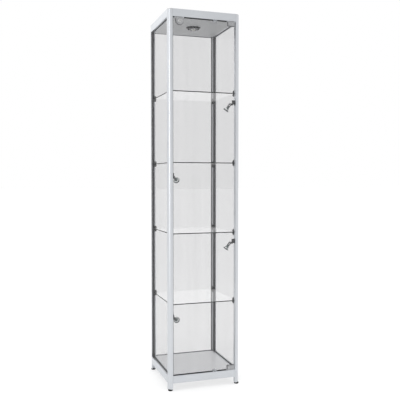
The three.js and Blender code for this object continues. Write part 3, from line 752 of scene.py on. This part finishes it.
# ---- Downlight ----------------------------------------------------------------------------------
# A low-voltage downlight let into the ceiling: a can with a conical trim in dark chrome, and a
# chromed gimbal lamp that stands a little below it, with a clear lens and three small emitters.
dark_chrome = plated("dark_chrome", (0.04, 0.04, 0.042), (0.08, 0.08, 0.083), 0.2, 0.32)
lamp_chrome = plated("lamp_chrome", (0.14, 0.14, 0.145), (0.36, 0.36, 0.37), 0.1, 0.2)
ease_edges(make_piece("downlight_flange", copy_of("downlight_can"), [dark_chrome], "frame",
                      ["downlight_can"]), 0.4 * MM)
ease_edges(make_piece("downlight_gimbal", copy_of("downlight_lamp"), [lamp_chrome],
                      "downlight_lamp", ["downlight_lamp"]), 0.4 * MM)
LENS_R, LENS_RISE = 16.6 * MM, 2.9 * MM
EMITTERS, EMITTER_RING, EMITTER_R, EMITTER_RISE = 3, 8 * MM, 3.2 * MM, 0.02 * MM
lens_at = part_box("downlight_lamp")[0].z + LENS_RISE
dome = [(0, 0), (LENS_R, 0), (LENS_R, -0.6 * MM), (10 * MM, -1.5 * MM), (0, -1.9 * MM)]
turned("downlight_lens", dome, shift(0, 0, lens_at), lens_clear, "downlight_lamp", 48)
for i in range(EMITTERS):
    turn = math.radians(90 + 360 * i / EMITTERS)
    dot = [(0, 0), (EMITTER_R, 0), (EMITTER_R, -0.5 * MM), (2.2 * MM, -1.1 * MM), (0, -1.3 * MM)]
    place = shift(EMITTER_RING * math.cos(turn), EMITTER_RING * math.sin(turn),
                  lens_at + EMITTER_RISE)
    turned(f"downlight_emitter_{i + 1}", dot, place, phosphor, "downlight_lamp", 20)


# ---- Camera, floor and light --------------------------------------------------------------------
# The tower stands on a plain pale floor in soft, even light from all round, seen from the front
# left. Two softboxes, a tall one on the left and a square one overhead, add soft highlights.
floor_mesh = bpy.data.meshes.new("floor")
FLOOR_REACH = 60
FLOOR_TURN = ((-1, -1), (1, -1), (1, 1), (-1, 1))
floor_corners = [(x * FLOOR_REACH, y * FLOOR_REACH, 0) for x, y in FLOOR_TURN]
floor_mesh.from_pydata(floor_corners, [], [(0, 1, 2, 3)])
floor = bpy.data.objects.new("floor", floor_mesh)
bpy.context.scene.collection.objects.link(floor)
floor_white, floor_tree, floor_shader, floor_coords = new_finish("floor_white", 0.9)
tint(floor_tree, noise(floor_tree, floor_coords, 3), (0.47, 0.47, 0.47), (0.49, 0.49, 0.49),
     floor_shader.inputs["Base Color"])
floor_shader.inputs["Specular IOR Level"].default_value = 0.1
floor_shader.inputs["Emission Color"].default_value = (1, 1, 1, 1)
floor_shader.inputs["Emission Strength"].default_value = 0.54
floor_mesh.materials.append(floor_white)

CAMERA_PLACE = (-1.017, -3.1936, 1.1194)
LOOKS_DOWN, TURNS_RIGHT = 2.029, 18.307
camera_data = bpy.data.cameras.new("camera")
camera_data.lens = 53.63
camera_data.sensor_width = 36
camera_data.clip_end = 200
camera = bpy.data.objects.new("camera", camera_data)
camera.location = CAMERA_PLACE
camera.rotation_euler = (math.radians(90 - LOOKS_DOWN), 0, math.radians(-TURNS_RIGHT))
bpy.context.scene.collection.objects.link(camera)
bpy.context.scene.camera = camera

world = bpy.data.worlds.new("studio")
bpy.context.scene.world = world
world.use_nodes = True
sky = world.node_tree
background = sky.nodes["Background"]
background.inputs["Color"].default_value = (1, 1, 1, 1)
axes = sky.nodes.new("ShaderNodeSeparateXYZ")
sky.links.new(sky.nodes.new("ShaderNodeTexCoord").outputs["Generated"], axes.inputs["Vector"])


def ramp(axis, start, end, low, high):
    """A soft change of brightness along one direction of the sky."""
    node = sky.nodes.new("ShaderNodeMapRange")
    node.interpolation_type = "SMOOTHSTEP"
    for name, value in (("From Min", start), ("From Max", end), ("To Min", low), ("To Max", high)):
        node.inputs[name].default_value = value
    sky.links.new(axes.outputs[axis], node.inputs["Value"])
    return node.outputs["Result"]


def combine(operation, first, second):
    """Two brightnesses put together by a sum or a product."""
    node = sky.nodes.new("ShaderNodeMath")
    node.operation = operation
    sky.links.new(first, node.inputs[0])
    sky.links.new(second, node.inputs[1])
    return node.outputs[0]


# The sky is a little dimmer in front. The left faces of the rails mirror the part behind the left
# of the tower, which is brighter high up and a little dimmer low down.
behind_left = combine("MULTIPLY", ramp("X", -0.03, -0.14, 0, 1), ramp("Y", 0.1, 0.4, 0, 1))
dimming = combine("MULTIPLY", behind_left, ramp("Z", 0.1, 0.24, 0.1, -0.4))
front_to_back = ramp("Y", -0.9, 0.1, 0.88, 1.0)
sky.links.new(combine("SUBTRACT", front_to_back, dimming), background.inputs["Strength"])


def softbox(name, place, target, width, height, power):
    """A rectangular area light that faces its target."""
    light = bpy.data.lights.new(name, "AREA")
    light.shape = "RECTANGLE"
    light.size, light.size_y = width, height
    light.energy = power
    lamp = bpy.data.objects.new(name, light)
    lamp.location = place
    lamp.rotation_euler = (Vector(target) - Vector(place)).to_track_quat("-Z", "Y").to_euler()
    bpy.context.scene.collection.objects.link(lamp)


softbox("side_softbox", (-3.2, -1.4, 1.8), target=(0, 0, 1.6), width=0.8, height=2.8, power=16)
softbox("top_softbox", (0.4, -0.6, 4.2), target=(0, 0, 0.8), width=2.4, height=2.4, power=30)
bpy.context.scene.view_settings.view_transform = "Standard"
